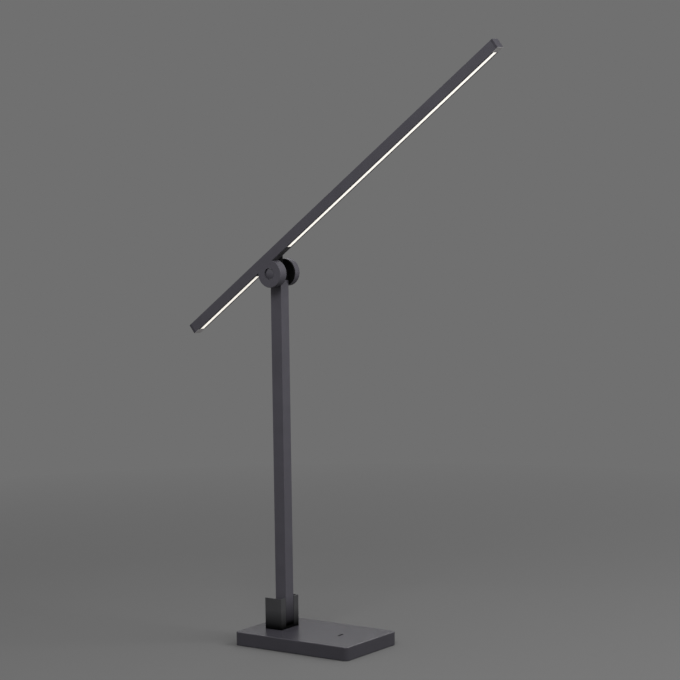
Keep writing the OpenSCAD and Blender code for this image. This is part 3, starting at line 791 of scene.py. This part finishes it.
@dataclass
class BaseUnit:
    """The weighted base: its shell, pad, key, fork and what is inside."""

    lamp: Lamp
    corner_radius: float = 0.0055
    top_edge: float = 0.001
    rim: float = 0.002
    wall: float = 0.004
    top_wall: float = 0.003
    foot_edge: float = 0.0002
    key_gap: float = 0.0005
    key_ease: float = 0.0002
    flange_width: float = 0.0012
    flange_height: float = 0.0009
    inlet_hole: float = 0.0037
    pad_corner: float = 0.0035
    pad_ease: float = 0.0003
    fork_edge: float = 0.0004
    fork_ease: float = 0.0002
    slot_half: float = 0.008
    slot_back: float = 0.0079
    fork_floor: float = 0.0015
    rim_wall: float = 0.0014
    rim_depth: float = 0.006
    pin_bore: float = 0.00305
    screw_bore: float = 0.00165

    def shell_blank(self) -> Mesh:
        """Makes the outside of the shell and hollows it from below.

        Returns:
            The shell's mesh, with no holes in it yet.
        """
        low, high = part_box("base_shell")
        bm = block(low, high)
        round_along(bm, UP, self.corner_radius, steps=12)
        round_off(bm, edges_at(bm, UP, high.z), self.top_edge, steps=5)
        round_off(bm, edges_at(bm, UP, low.z), self.foot_edge, steps=2)
        self.sink(bm, self.rim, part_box("bottom_plate")[1].z)
        self.sink(bm, self.wall - self.rim, high.z - self.top_wall)
        return bm

    @staticmethod
    def sink(bm: Mesh, inset: float, level: float) -> None:
        """Sinks the underside's middle face to a level.

        Args:
            bm: The shell's mesh.
            inset: Width of the step left round the sunk face.
            level: Height that the sunk face reaches.
        """
        floor = min(bm.faces, key=lambda f: f.normal.z * f.calc_area())
        bmesh.ops.inset_region(bm, faces=[floor], thickness=inset, depth=0.0,
                               use_even_offset=True)
        raised = bmesh.ops.extrude_face_region(bm, geom=[floor])
        verts = [g for g in raised["geom"] if isinstance(g, bmesh.types.BMVert)]
        bmesh.ops.delete(bm, geom=[floor], context="FACES_ONLY")
        bmesh.ops.translate(bm, vec=(0, 0, level - verts[0].co.z), verts=verts)
        bm.normal_update()

    def key_bar(self, gap: float = 0.0) -> Mesh:
        """Makes the round-ended bar that fills the key's slot, or that cuts the slot.

        Args:
            gap: Width of the gap that it leaves round the key.

        Returns:
            The bar's mesh.
        """
        low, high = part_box("switch_key")
        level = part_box("base_shell")[1].z - self.top_wall
        past = self.top_wall if gap else 0.0
        side = self.flange_width - gap
        low = Vector((low.x + side, low.y + side, level - past))
        high = Vector((high.x - side, high.y - side, high.z + past))
        bm = block(low, high)
        round_along(bm, UP, (high.x - low.x) / 2.0 * HALF_ROUND, END_STEPS)
        return bm

    def shell(self) -> None:
        """Builds the shell with its slot and its inlet's hole."""
        piece = Workpiece("shell", self.shell_blank())
        inlet = middle("power_inlet")
        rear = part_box("base_shell")[0].x
        hole = rod(self.inlet_hole, Vector((rear - 2.0 * OVER, inlet.y, inlet.z)),
                   Vector((rear + self.wall + OVER, inlet.y, inlet.z)))
        piece.work(Join.CUT, self.key_bar(self.key_gap), hole)
        piece.done(self.lamp, "base", "painted_base", "base_shell")

    def key(self) -> None:
        """Builds the push key: a round-ended bar on its hidden flange."""
        low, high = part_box("switch_key")
        flange = block(low, Vector((high.x, high.y, low.z + self.flange_height)))
        piece = Workpiece("push_key", self.key_bar()).work(Join.ADD, flange)
        piece.ease(self.key_ease).done(self.lamp, "key", "key_plastic", "switch_key")

    def pad(self) -> None:
        """Builds the rubber pad, with a moulded edge."""
        bm = block(*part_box("base_pad"))
        round_along(bm, UP, self.pad_corner, END_STEPS)
        piece = Workpiece("rubber_pad", bm).ease(self.pad_ease)
        piece.done(self.lamp, "base", "black_rubber", "base_pad")

    def fork(self) -> None:
        """Builds the U-shaped fork with its slot, its mouth and the bores of pin and screw."""
        low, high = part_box("stem_bracket")
        pin = self.lamp.joint("stem_tilt")
        bm = block(low, high)
        round_along(bm, UP, self.fork_edge)
        past = 2.0 * OVER
        inside = Vector((low.x + self.slot_back, -self.slot_half, low.z + self.fork_floor))
        slot = block(inside, Vector((high.x + past, self.slot_half, high.z + past)))
        mouth = block(Vector((low.x - past, low.y + self.rim_wall, high.z - self.rim_depth)),
                      Vector((high.x - self.rim_wall, high.y - self.rim_wall, high.z + past)))
        bore = rod(self.pin_bore, Vector((pin.x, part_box("stem_pin")[0].y, pin.z)),
                   Vector((pin.x, high.y + OVER, pin.z)))
        side = middle("pin_lock_screw").y
        way = rod(self.screw_bore, Vector((low.x - OVER, side, pin.z)),
                  Vector((pin.x, side, pin.z)), WAY_STEPS)
        piece = Workpiece("stem_fork", bm).work(Join.CUT, slot, mouth, bore, way)
        piece.ease(self.fork_ease)
        piece.done(self.lamp, "base", "painted_bracket", "stem_bracket")

    def build(self) -> None:
        """Builds the unit's own pieces and dresses its CAD nodes."""
        self.shell()
        self.key()
        self.pad()
        self.fork()
        self.lamp.dress("base", "key")


@dataclass
class StemUnit:
    """The square stem that tilts in the fork, and its black head."""

    lamp: Lamp
    bush_radius: float = 0.004
    axle_bush_radius: float = 0.005
    wire_way: float = 0.0025
    head_bare: float = 0.0084
    post_radius: float = 0.0042
    post_height: float = 0.0225
    post_edge: float = 0.0012
    play: float = 0.0001
    wall: float = 0.0015
    long_edge: float = 0.0004
    tube_ease: float = 0.0001
    head_ease: float = 0.00015
    foot_round: float = 0.995
    window_half: float = 0.0018
    window_drop: float = 0.0045

    def stem(self) -> None:
        """Builds the square tube, round at its foot about the pin and cut flat at its top."""
        low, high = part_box("stem_tube")
        high.z = self.lamp.joint("arm_tilt").z - self.head_bare
        pin = self.lamp.joint("stem_tilt")
        half = (high.x - low.x) / 2.0
        bar = block(low, high)
        round_along(bar, UP, self.long_edge, steps=5)
        outline = block(Vector((low.x, low.y - OVER, low.z)),
                        Vector((high.x, high.y + OVER, high.z + OVER)))
        across = [e for e in edges_at(outline, UP, low.z)
                  if abs(e.verts[0].co.x - e.verts[1].co.x) < SAME]
        round_off(outline, across, half * self.foot_round, steps=24)
        piece = Workpiece("stem", bar).work(Join.KEEP, outline)
        inner = half - self.wall
        hollow = block(Vector((pin.x - inner, -inner, low.z - OVER)),
                       Vector((pin.x + inner, inner, high.z + OVER)))
        side = Vector((0, half + OVER, 0))
        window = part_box("light_lead")[1].z
        view = block(Vector((low.x - OVER, -self.window_half, window - self.window_drop)),
                     Vector((pin.x, self.window_half, window + self.window_drop)))
        piece.work(Join.CUT, hollow, rod(self.bush_radius, pin - side, pin + side), view)
        piece.ease(self.tube_ease, steps=1)
        piece.done(self.lamp, "stem", "painted_aluminium", "stem_tube")

    def head(self) -> None:
        """Builds the black head: an insert, a neck, a round top on the hinge, and a post."""
        low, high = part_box("stem_head")
        hinge = self.lamp.joint("arm_tilt")
        shoulder = hinge.z - self.head_bare + self.play
        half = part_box("stem_tube")[1].z - hinge.z
        insert = block(low, Vector((high.x, high.y, shoulder + self.play)))
        neck = block(Vector((hinge.x - half, -half, shoulder)),
                     Vector((hinge.x + half, half, hinge.z)))
        side = Vector((0, half, 0))
        top = rod(half, hinge - side, hinge + side, ROUND_STEPS)
        above = block(Vector((low.x - half, -2 * half, shoulder)),
                      Vector((high.x + half, 2 * half, hinge.z + 2 * half)))
        post = disc(self.post_radius, 0.0, self.post_height, self.post_edge)
        bmesh.ops.rotate(post, verts=post.verts, matrix=Matrix.Rotation(math.pi / 2.0, 3, "X"))
        bmesh.ops.translate(post, verts=post.verts, vec=hinge)
        piece = Workpiece("stem_head", top).work(Join.KEEP, above)
        piece.work(Join.ADD, neck, insert, post)
        bore = rod(self.axle_bush_radius, hinge - 2 * side, hinge + 2 * side)
        way = rod(self.wire_way, Vector((hinge.x, 0, low.z - OVER)), hinge, WAY_STEPS)
        piece.work(Join.CUT, bore, way).ease(self.head_ease)
        piece.done(self.lamp, "stem", "friction_ring", "stem_head")

    def build(self) -> None:
        """Builds the unit's own pieces and dresses its CAD nodes."""
        self.stem()
        self.head()
        self.lamp.dress("stem")


@dataclass
class BarUnit:
    """The light bar with its hub, far disc, caps, diffusers and ends.

    Its pieces are made lying down, with X along the bar and the hinge axis at the origin,
    and then turned to the bar's angle.
    """

    lamp: Lamp
    tilt: float
    width: float = 0.012
    rise: float = 0.0158
    reach_up: float = 0.401
    reach_down: float = 0.134
    end_cap: float = 0.003
    long_edge: float = 0.0004
    wall: float = 0.0012
    mouth_width: float = 0.0069
    mouth_depth: float = 0.0013
    channel_width: float = 0.0084
    channel_depth: float = 0.003
    web: float = 0.001
    disc_radius: float = 0.016
    disc_bevel: float = 0.0006
    disc_ease: float = 0.00015
    pocket_radius: float = 0.0067
    bolt_bore: float = 0.00405
    bolt_head: float = 0.0034
    cap_radius: float = 0.0059
    cap_dome: float = 0.0013
    cap_rings: int = 12
    far_thickness: float = 0.0088
    far_cap_proud: float = 0.0013
    dark_up: float = 0.039
    dark_down: float = 0.019
    dark_end: float = 0.009
    diffuser: float = 0.0012
    diffuser_sink: float = 0.0001
    diffuser_ease: float = 0.00012
    cover_ease: float = 0.00015
    veil: float = 0.0004
    cover_start: float = 0.01285
    tongue: float = 0.007
    play: float = 0.0001

    def seat(self) -> Matrix:
        """Gives the move from the bar's own frame to its place on the lamp."""
        hinge = self.lamp.joint("arm_tilt")
        return Matrix.Translation(hinge) @ Matrix.Rotation(-self.tilt, 4, "Y")

    def faces(self) -> Span:
        """Gives the bar's near and far face along Y."""
        low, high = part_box("arm_beam")
        return low.y, high.y

    def strip_block(self, start: float, stop: float, half: float, low: float,
                    high: float) -> Mesh:
        """Makes a block along the bar, centred on its middle line.

        Args:
            start: One of its ends along the bar.
            stop: Its other end.
            half: Half of its width.
            low: Its lower level, over the bar's underside.
            high: Its upper level, over the bar's underside.

        Returns:
            The block's mesh.
        """
        line = sum(self.faces()) / 2.0
        under = self.rise - self.width / 2.0
        start, stop = sorted((start, stop))
        return block(Vector((start, line - half, under + low)),
                     Vector((stop, line + half, under + high)))

    def bar(self) -> None:
        """Builds the square bar and its hub as one painted piece."""
        near, far = self.faces()
        start = -self.reach_down + self.end_cap
        stop = self.reach_up - self.end_cap
        beam = self.strip_block(start, stop, self.width / 2.0, 0.0, self.width)
        round_along(beam, ALONG, self.long_edge)
        past = (start - 10.0 * OVER, stop + 10.0 * OVER)
        mouth = self.strip_block(*past, self.mouth_width / 2.0, -OVER, self.channel_depth)
        channel = self.strip_block(*past, self.channel_width / 2.0, self.mouth_depth,
                                   self.channel_depth)
        room = self.strip_block(*past, self.width / 2.0 - self.wall,
                                self.channel_depth + self.web, self.width - self.wall)
        ends = [self.strip_block(*span, self.width, -OVER, self.veil)
                for span in self.frosted_spans()]
        piece = Workpiece("light_bar", beam).work(Join.CUT, mouth, channel, *ends)
        piece.work(Join.ADD, disc(self.disc_radius, far, near, self.disc_bevel))
        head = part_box("hinge_bolt")[0].y
        pocket = rod(self.pocket_radius, Vector((0, near - OVER, 0)),
                     Vector((0, head + self.bolt_head, 0)), ROUND_STEPS)
        bore = rod(self.bolt_bore, Vector((0, head, 0)), Vector((0, OVER, 0)))
        piece.work(Join.CUT, room, pocket, bore).place(self.seat())
        piece.done(self.lamp, "arm", "painted_aluminium", "arm_beam")

    def far_disc(self) -> None:
        """Builds the clamp disc on the far side of the stem."""
        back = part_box("clamp_disc")[0].y
        face = back + self.far_thickness
        pocket = rod(self.pocket_radius, Vector((0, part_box("spring_washers")[0].y, 0)),
                     Vector((0, face + OVER, 0)), ROUND_STEPS)
        bore = rod(self.bolt_bore, Vector(), Vector((0, face, 0)))
        piece = Workpiece("far_disc", disc(self.disc_radius, back, face, self.disc_bevel))
        piece.work(Join.CUT, pocket, bore).ease(self.disc_ease).place(self.seat())
        piece.done(self.lamp, "arm", "painted_aluminium", "clamp_disc")

    def cap(self, name: str, node: str, top: float, back: float) -> None:
        """Builds a domed round cap in the pocket of a disc.

        Args:
            name: Name of the piece.
            node: CAD node that it stands for.
            top: Level of its dome's top along Y.
            back: Level of its flat back along Y.
        """
        radius = self.cap_radius
        outward = math.copysign(1.0, top - back)
        ball = (radius ** 2 + self.cap_dome ** 2) / (2.0 * self.cap_dome)
        rings = [radius * i / self.cap_rings for i in range(self.cap_rings + 1)]
        dome = [(away, top - outward * (ball - math.sqrt(ball ** 2 - away ** 2)))
                for away in rings]
        cap = turned(dome + [(radius, back), (0.0, back)])
        Workpiece(name, cap).place(self.seat()).done(self.lamp, "arm", "cap_paint", node)

    def frosted_spans(self) -> list[Span]:
        """Gives where the frosted plates lie along the bar, lower one first."""
        return [(-self.reach_down, self.dark_end - self.reach_down),
                (self.reach_up - self.dark_end, self.reach_up)]

    def diffusers(self) -> None:
        """Builds the milky strips, set a little into their channel, with eased edges."""
        half = self.mouth_width / 2.0 - self.play
        low, high = self.frosted_spans()
        for name, node, ends in (
                ("diffuser_long", "upper_diffuser", (self.dark_up, high[0])),
                ("diffuser_short", "lower_diffuser", (low[1], -self.dark_down))):
            bm = self.strip_block(*ends, half, self.diffuser_sink, self.diffuser)
            piece = Workpiece(name, bm).ease(self.diffuser_ease).place(self.seat())
            piece.done(self.lamp, "arm", "lit_diffuser", node)

    def frosted_ends(self) -> None:
        """Builds the milky plates that close the underside past the strips' light, in a faint
        painted glow.
        """
        names = ("frosted_end_lower", "frosted_end_upper")
        for name, (start, stop) in zip(names, self.frosted_spans()):
            bm = self.strip_block(start + self.play, stop - self.play,
                                  self.width / 2.0 - self.play, 0.0, self.veil - self.play)
            piece = Workpiece(name, bm).place(self.seat())
            piece.done(self.lamp, "arm", "lit_diffuser", finish="unlit_diffuser")

    def covers(self) -> None:
        """Builds the two dark covers between the hub and the diffusers."""
        half = self.mouth_width / 2.0 - self.play
        spans = {"channel_cover_lower": (self.play - self.dark_down, -self.cover_start),
                 "channel_cover_upper": (self.cover_start, self.dark_up - self.play)}
        for name, ends in spans.items():
            bm = self.strip_block(*ends, half, 0.0, self.diffuser)
            piece = Workpiece(name, bm).ease(self.cover_ease).place(self.seat())
            piece.done(self.lamp, "arm", "dark_plastic", "channel_covers")

    def end(self, name: str, node: str, tip: float, outward: int) -> None:
        """Builds an end cap with its tongue in the bar.

        Args:
            name: Name of the piece.
            node: CAD node that it stands for.
            tip: Where its outer face is along the bar.
            outward: Direction of that face, -1 or 1.
        """
        inner = tip - outward * self.end_cap
        plate = self.strip_block(tip, inner, self.width / 2.0, self.veil, self.width)
        round_along(plate, ALONG, self.long_edge)
        round_off(plate, edges_at(plate, ALONG, tip), self.long_edge, steps=3)
        inset = self.wall + self.play
        tongue = self.strip_block(inner, inner - outward * self.tongue,
                                  self.width / 2.0 - inset,
                                  self.channel_depth + self.web + self.play,
                                  self.width - inset)
        lip = self.strip_block(inner, tip - outward * (self.dark_end - self.play),
                               self.mouth_width / 2.0 - self.play, self.veil, self.diffuser)
        piece = Workpiece(name, plate).work(Join.ADD, tongue, lip).place(self.seat())
        piece.done(self.lamp, "arm", "end_plastic", node)

    def build(self) -> None:
        """Builds the unit's own pieces and dresses its CAD nodes."""
        self.bar()
        self.far_disc()
        self.cap("hub_cover", "hub_cap", self.faces()[0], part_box("hub_cap")[1].y)
        far_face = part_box("clamp_disc")[0].y + self.far_thickness
        self.cap("disc_cover", "disc_cap", far_face + self.far_cap_proud,
                 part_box("hinge_nut")[1].y + self.play / 2.0)
        self.diffusers()
        self.covers()
        self.frosted_ends()
        self.end("bar_end_upper", "upper_end_cap", self.reach_up, 1)
        self.end("bar_end_lower", "lower_end_cap", -self.reach_down, -1)
        self.lamp.dress("arm")


# The studio: camera, floor, air and soft boxes


@dataclass
class ViewPoint:
    """The camera, as fitted to the photograph's edges."""

    focal_px: float = 2423.3
    azimuth: float = 35.08
    elevation: float = 5.85
    roll: float = -0.783
    look_at: Vector = field(default_factory=lambda: Vector((0.0408, 0.0, 0.3606)))
    distance: float = 2.7761
    sensor: float = 36.0
    reach: float = 50.0

    def build(self) -> None:
        """Builds the camera and makes it the scene's own."""
        turn = Matrix.Identity(4)
        for angle, axis in ((self.azimuth, "Z"), (90.0 - self.elevation, "X"),
                            (self.roll, "Z")):
            turn @= Matrix.Rotation(math.radians(angle), 4, axis)
        back = Matrix.Translation((0.0, 0.0, self.distance))
        data = bpy.data.cameras.new("view")
        data.sensor_width = self.sensor
        data.lens = self.focal_px / PHOTO_PX * self.sensor
        data.clip_end = self.reach
        camera = add("view", data)
        camera.matrix_world = Matrix.Translation(self.look_at) @ turn @ back
        bpy.context.scene.camera = camera


@dataclass
class SoftBox:
    """One soft studio lamp, pointed at the middle of the stem."""

    name: str
    place: Vector
    size: Span
    power: float
    aim: Vector = field(default_factory=lambda: Vector((0.05, 0.0, 0.3)))

    def build(self) -> None:
        """Hangs the lamp and points it."""
        data = bpy.data.lights.new(self.name, "AREA")
        data.shape = "RECTANGLE"
        data.size, data.size_y = self.size
        data.energy = self.power
        turn = (self.aim - self.place).to_track_quat("-Z", "Y").to_matrix().to_4x4()
        add(self.name, data).matrix_world = Matrix.Translation(self.place) @ turn


@dataclass
class Studio:
    """A plain floor that sweeps up behind the lamp, even air, and soft light."""

    floor_tone: float = 0.152
    bounce_tone: float = 0.06
    far_tone: float = 0.162
    near_reach: float = 0.6
    far_reach: float = 1.4
    world_tone: float = 0.42
    half_width: float = 5.0
    front: float = -5.0
    back: float = 4.0
    sweep: float = 1.6
    sweep_steps: int = 24
    height: float = 6.0

    def floor(self) -> None:
        """Builds the floor and backdrop as one bent sheet."""
        bm = bmesh.new()
        line = [Vector((0.0, self.front, 0.0)), Vector((0.0, self.back - self.sweep, 0.0))]
        for i in range(1, self.sweep_steps + 1):
            t = math.pi / 2.0 * i / self.sweep_steps
            line.append(Vector((0.0, self.back - self.sweep + self.sweep * math.sin(t),
                                self.sweep * (1.0 - math.cos(t)))))
        line.append(Vector((0.0, self.back, self.height)))
        left = [bm.verts.new(p + Vector((-self.half_width, 0, 0))) for p in line]
        edges = [bm.edges.new(pair) for pair in zip(left, left[1:])]
        swept = bmesh.ops.extrude_edge_only(bm, edges=edges)
        verts = [g for g in swept["geom"] if isinstance(g, bmesh.types.BMVert)]
        bmesh.ops.translate(bm, vec=(2 * self.half_width, 0, 0), verts=verts)
        bmesh.ops.recalc_face_normals(bm, faces=bm.faces)
        turn = Matrix.Rotation(math.radians(ViewPoint().azimuth), 4, "Z")
        bmesh.ops.transform(bm, matrix=turn, verts=bm.verts)
        item = Workpiece("studio_floor", bm).item
        item.data.shade_smooth()
        item.data.materials.append(self.floor_material())

    def floor_material(self) -> bpy.types.Material:
        """Builds the floor's matt paper, which the camera sees in one even tone far off.

        The paper near the lamp is plainly lit, so it keeps the lamp's shadow.

        Returns:
            The material.
        """
        sheet = NodeSheet("studio_paper")
        camera = sheet.node("LightPath", "Is Camera Ray", {})
        mirrored = sheet.math("MAXIMUM", camera.node.outputs["Is Glossy Ray"],
                              camera.node.outputs["Is Transmission Ray"])
        seen = sheet.math("MAXIMUM", camera, mirrored)
        away = sheet.node("VectorMath", "Value", {0: sheet.coordinates()},
                          operation="LENGTH")
        far = sheet.math("MULTIPLY", seen, sheet.spread(away, 0.0, 1.0, self.near_reach,
                                                        self.far_reach))
        even = sheet.node("Emission", "Emission", {"Color": (*grey(self.far_tone), 1.0)})
        paper = sheet.node("MixShader", "Shader",
                           {"Fac": far, 1: sheet.shader.outputs["BSDF"], 2: even})
        sheet.feed(sheet.tree.nodes["Material Output"].inputs["Surface"], paper)
        return sheet.finish(metallic=0.0, specular_ior_level=0.0, roughness=1.0,
                            base_color=sheet.colors(seen, grey(self.bounce_tone),
                                                    grey(self.floor_tone), 0.0, 1.0))

    def world(self) -> None:
        """Sets the even light from all round, seen by the camera in the far paper's tone."""
        world = bpy.data.worlds.new("studio_air")
        world.use_nodes = True
        nodes, links = world.node_tree.nodes, world.node_tree.links
        shade, seen = nodes["Background"], nodes.new("ShaderNodeBackground")
        for node, tone in ((shade, self.world_tone), (seen, self.far_tone)):
            node.inputs["Color"].default_value = (*grey(tone), 1.0)
        path = nodes.new("ShaderNodeLightPath")
        blend = nodes.new("ShaderNodeMixShader")
        links.new(path.outputs["Is Camera Ray"], blend.inputs["Fac"])
        links.new(shade.outputs["Background"], blend.inputs[1])
        links.new(seen.outputs["Background"], blend.inputs[2])
        links.new(blend.outputs["Shader"], nodes["World Output"].inputs["Surface"])
        bpy.context.scene.world = world

    def build(self) -> None:
        """Builds the floor, the air and the lamps."""
        self.floor()
        self.world()
        for box in (SoftBox("overhead", Vector((0.3, -0.2, 2.6)), (2.4, 2.4), 5.5),
                    SoftBox("front_fill", Vector((0.6, -1.3, 1.8)), (1.0, 0.8), 21.5),
                    SoftBox("right_fill", Vector((1.4, 0.5, 1.5)), (1.0, 1.0), 17.5),
                    SoftBox("low_right", Vector((1.2, 0.7, 0.55)), (1.4, 0.8), 2.0),
                    SoftBox("rear_sheen", Vector((-0.9, 2.1, 1.9)), (1.3, 0.9), 9.0),
                    SoftBox("low_sheen", Vector((-1.32, 1.88, 1.15)), (1.2, 0.35), 3.4)):
            box.build()
        bpy.context.scene.view_settings.view_transform = "Standard"


def bar_tilt() -> float:
    """Works out the bar's angle above level, in radians, from its packed end caps."""
    run = middle("upper_end_cap") - middle("lower_end_cap")
    return math.atan2(run.z, run.x)


def main() -> None:
    """Builds the camera, the studio and the lamp, unit by unit."""
    logging.basicConfig(level=logging.INFO, format="%(name)s: %(message)s")
    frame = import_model()
    ViewPoint().build()
    Studio().build()
    tilt = bar_tilt()
    LOG.info("the bar stands %.2f degrees above level", math.degrees(tilt))
    lamp = Lamp(frame, Finishes(tilt).build())
    for unit in (BaseUnit(lamp), StemUnit(lamp), BarUnit(lamp, tilt)):
        unit.build()
        LOG.info("%s is built", type(unit).__name__)


if __name__ == "__main__":
    main()
